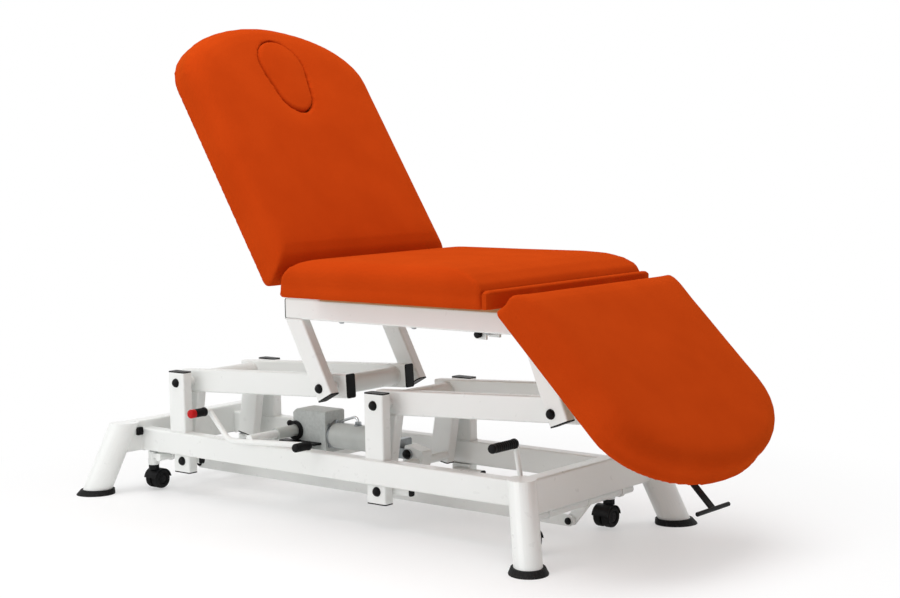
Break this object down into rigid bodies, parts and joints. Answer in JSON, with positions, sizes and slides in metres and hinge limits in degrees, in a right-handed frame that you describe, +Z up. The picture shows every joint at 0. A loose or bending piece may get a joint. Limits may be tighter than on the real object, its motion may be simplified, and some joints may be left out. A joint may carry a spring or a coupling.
{
  "type": "hydraulic massage table",
  "caption": "Height-adjustable treatment table on an open steel frame: lift levers, pump with pedal, tilting back and leg cushions, face hole, drop-down casters.",
  "frame": {"origin": "on the floor, midway between the two ends and the two sides of the table in its pictured position", "axes": "+X towards the foot end, -Y the side with the pedal, +Z up"},
  "size_m": [1.844, 0.687, 1.2259],
  "materials": {
    "frame_white": "white gloss powder coat",
    "black_plastic": "black moulded plastic",
    "black_rubber": "black rubber, lightly worn",
    "upholstery": "orange-red coated leatherette, fine grain, semi-matt",
    "board": "sealed birch plywood",
    "chromed": "bright chrome plate",
    "pump_grey": "silver grey paint",
    "steel_zinc": "zinc plated steel",
    "caster_grey": "dark grey moulded plastic"
  },
  "bodies": {
    "base": {"side_rail_near": "frame_white", "side_rail_far": "frame_white", "cross_rail_head": "frame_white", "cross_rail_foot": "frame_white", "pump_beam": "frame_white", "frame_legs": "frame_white", "rubber_feet": "black_rubber", "posts": "frame_white", "frame_caps": "black_plastic", "rail_lugs": "frame_white", "frame_bolts": "black_plastic", "pump_housing": "pump_grey", "pump_valve": "black_plastic", "jack_cylinder": "pump_grey", "oil_pipe": "chromed"},
    "head_lever": {"head_bars": "frame_white", "head_crank_posts": "frame_white", "head_cross_tubes": "frame_white", "head_lever_caps": "black_plastic"},
    "foot_lever": {"foot_bars": "frame_white", "foot_crank_posts": "frame_white", "foot_cross_tubes": "frame_white", "drive_block": "frame_white", "foot_lever_caps": "black_plastic"},
    "seat": {"seat_rails": "frame_white", "seat_cross_tubes": "frame_white", "seat_legs_head": "frame_white", "seat_legs_foot": "frame_white", "seat_leg_caps": "black_plastic", "seat_bolts": "black_plastic", "seat_board": "board", "seat_cushion": "upholstery", "seat_brackets": "frame_white"},
    "back": {"back_board": "board", "back_cushion": "upholstery", "back_brackets": "frame_white"},
    "plug": {"face_plug": "upholstery"},
    "legrest": {"leg_board": "board", "leg_cushion": "upholstery", "leg_brackets": "frame_white"},
    "leg_release": {"pull_handle": "black_plastic"},
    "back_release": {"release_lever": "chromed"},
    "jack": {"jack_rod": "chromed", "rod_clevis": "steel_zinc"},
    "pedal": {"pedal_hub": "pump_grey", "pedal_tube": "frame_white", "pedal_grips": "black_rubber"},
    "foot_wheels_lift": {"foot_axle": "frame_white", "wheel_lever": "frame_white", "wheel_lever_grip": "black_rubber"},
    "head_wheels_lift": {"head_axle": "frame_white"},
    "link": {"link_bar": "frame_white"},
    "caster_1": {"caster_yoke_1": "caster_grey"},
    "wheels_1": {"caster_wheels_1": "caster_grey"},
    "caster_2": {"caster_yoke_2": "caster_grey"},
    "wheels_2": {"caster_wheels_2": "caster_grey"},
    "caster_3": {"caster_yoke_3": "caster_grey"},
    "wheels_3": {"caster_wheels_3": "caster_grey"},
    "caster_4": {"caster_yoke_4": "caster_grey"},
    "wheels_4": {"caster_wheels_4": "caster_grey"}
  },
  "joints": [
    {"name": "lift", "type": "hinge", "parent": "base", "child": "head_lever", "pos_m": [-0.67132, 0, 0.301], "axis": [0, -1, 0], "range_deg": [-10.2, 29.5]},
    {"name": "foot_lift", "type": "hinge", "parent": "base", "child": "foot_lever", "pos_m": [0.02868, 0, 0.301], "axis": [0, -1, 0], "range_deg": [-10.2, 29.5]},
    {"name": "seat_level", "type": "hinge", "parent": "head_lever", "child": "seat", "pos_m": [-0.14799, 0, 0.32751], "axis": [0, -1, 0], "range_deg": [-29.5, 10.2]},
    {"name": "back_tilt", "type": "hinge", "parent": "seat", "child": "back", "pos_m": [-0.16732, 0, 0.58], "axis": [0, 1, 0], "range_deg": [-58.5, 10]},
    {"name": "plug_out", "type": "slide", "parent": "back", "child": "plug", "axis": [0.8526, 0, 0.5225], "range_m": [0, 0.12]},
    {"name": "leg_tilt", "type": "hinge", "parent": "seat", "child": "legrest", "pos_m": [0.50568, 0, 0.58], "axis": [0, -1, 0], "range_deg": [0, 45]},
    {"name": "leg_pull", "type": "slide", "parent": "legrest", "child": "leg_release", "axis": [0.7071, 0, -0.7071], "range_m": [0, 0.018], "stiffness_N_per_m": 900, "springref_m": -0.012},
    {"name": "back_pull", "type": "slide", "parent": "seat", "child": "back_release", "axis": [0, -1, 0], "range_m": [0, 0.01], "stiffness_N_per_m": 900, "springref_m": -0.005},
    {"name": "jack_stroke", "type": "slide", "parent": "base", "child": "jack", "axis": [1, 0, 0], "range_m": [-0.027, 0.0774]},
    {"name": "pedal_rock", "type": "hinge", "parent": "base", "child": "pedal", "pos_m": [-0.37232, 0, 0.184], "axis": [0, 1, 0], "range_deg": [-15, 15], "stiffness_Nm_per_rad": 25},
    {"name": "wheels_down", "type": "hinge", "parent": "base", "child": "foot_wheels_lift", "pos_m": [0.51168, 0, 0.096], "axis": [0, -1, 0], "range_deg": [0, 18]},
    {"name": "head_wheels_down", "type": "hinge", "parent": "base", "child": "head_wheels_lift", "pos_m": [-0.74032, 0, 0.096], "axis": [0, -1, 0], "range_deg": [0, 18]},
    {"name": "link_level", "type": "hinge", "parent": "foot_wheels_lift", "child": "link", "pos_m": [0.47168, 0, 0.048], "axis": [0, -1, 0], "range_deg": [-18, 0]},
    {"name": "caster_swivel_1", "type": "hinge", "parent": "foot_wheels_lift", "child": "caster_1", "pos_m": [0.46668, -0.167, 0.085], "axis": [0, 0, 1], "continuous": true},
    {"name": "wheel_spin_1", "type": "hinge", "parent": "caster_1", "child": "wheels_1", "pos_m": [0.46668, -0.155, 0.03], "axis": [1, 0, 0], "continuous": true},
    {"name": "caster_swivel_2", "type": "hinge", "parent": "foot_wheels_lift", "child": "caster_2", "pos_m": [0.46668, 0.167, 0.085], "axis": [0, 0, 1], "continuous": true},
    {"name": "wheel_spin_2", "type": "hinge", "parent": "caster_2", "child": "wheels_2", "pos_m": [0.46668, 0.155, 0.03], "axis": [1, 0, 0], "continuous": true},
    {"name": "caster_swivel_3", "type": "hinge", "parent": "head_wheels_lift", "child": "caster_3", "pos_m": [-0.78532, -0.167, 0.085], "axis": [0, 0, 1], "continuous": true},
    {"name": "wheel_spin_3", "type": "hinge", "parent": "caster_3", "child": "wheels_3", "pos_m": [-0.78532, -0.155, 0.03], "axis": [1, 0, 0], "continuous": true},
    {"name": "caster_swivel_4", "type": "hinge", "parent": "head_wheels_lift", "child": "caster_4", "pos_m": [-0.78532, 0.167, 0.085], "axis": [0, 0, 1], "continuous": true},
    {"name": "wheel_spin_4", "type": "hinge", "parent": "caster_4", "child": "wheels_4", "pos_m": [-0.78532, 0.155, 0.03], "axis": [1, 0, 0], "continuous": true}
  ],
  "couplings": [
    {"joint": "foot_lift", "follows": "lift", "ratio": 1},
    {"joint": "seat_level", "follows": "lift", "ratio": -1},
    {"joint": "jack_stroke", "follows": "lift", "m_per_rad": 0.1495},
    {"joint": "head_wheels_down", "follows": "wheels_down", "ratio": 1},
    {"joint": "link_level", "follows": "wheels_down", "ratio": -1}
  ]
}
